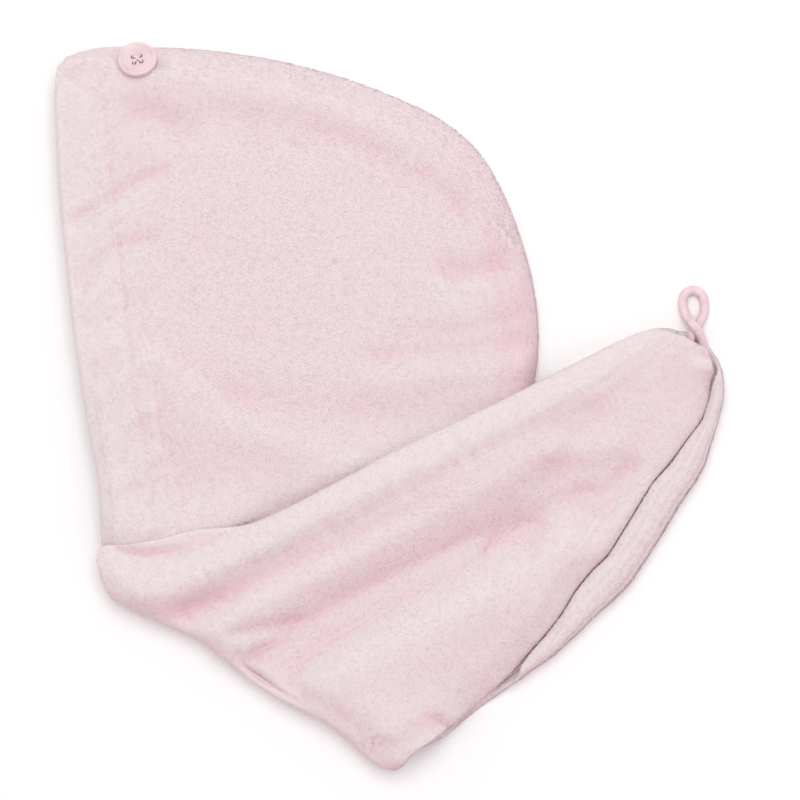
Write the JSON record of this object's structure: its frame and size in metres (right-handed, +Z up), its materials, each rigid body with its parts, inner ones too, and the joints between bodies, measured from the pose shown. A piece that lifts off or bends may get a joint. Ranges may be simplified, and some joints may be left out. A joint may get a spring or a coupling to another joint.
{
  "type": "hair towel",
  "caption": "Hooded hair-drying towel of plush cloth, laid flat with its long tail folded over the hood, with a button and a cord loop.",
  "frame": {"origin": "on the table, under the middle of the laid towel's bounding box", "axes": "+Z up from the table; +Y towards the hood's top corner with the button; +X towards the tail's tip with the loop; the hood's mouth faces -X"},
  "size_m": [0.3628, 0.393, 0.0286],
  "materials": {
    "cloth": "pale pink plush microfibre with a short dense pile",
    "loop_cord": "pale pink knitted cord",
    "button": "pale pink satin resin",
    "thread": "pale pink sewing thread"
  },
  "bodies": {
    "root": {"outer_panel": "cloth", "inner_panel": "cloth", "button_loop": "loop_cord", "button": "button", "button_thread": "thread"}
  },
  "joints": []
}
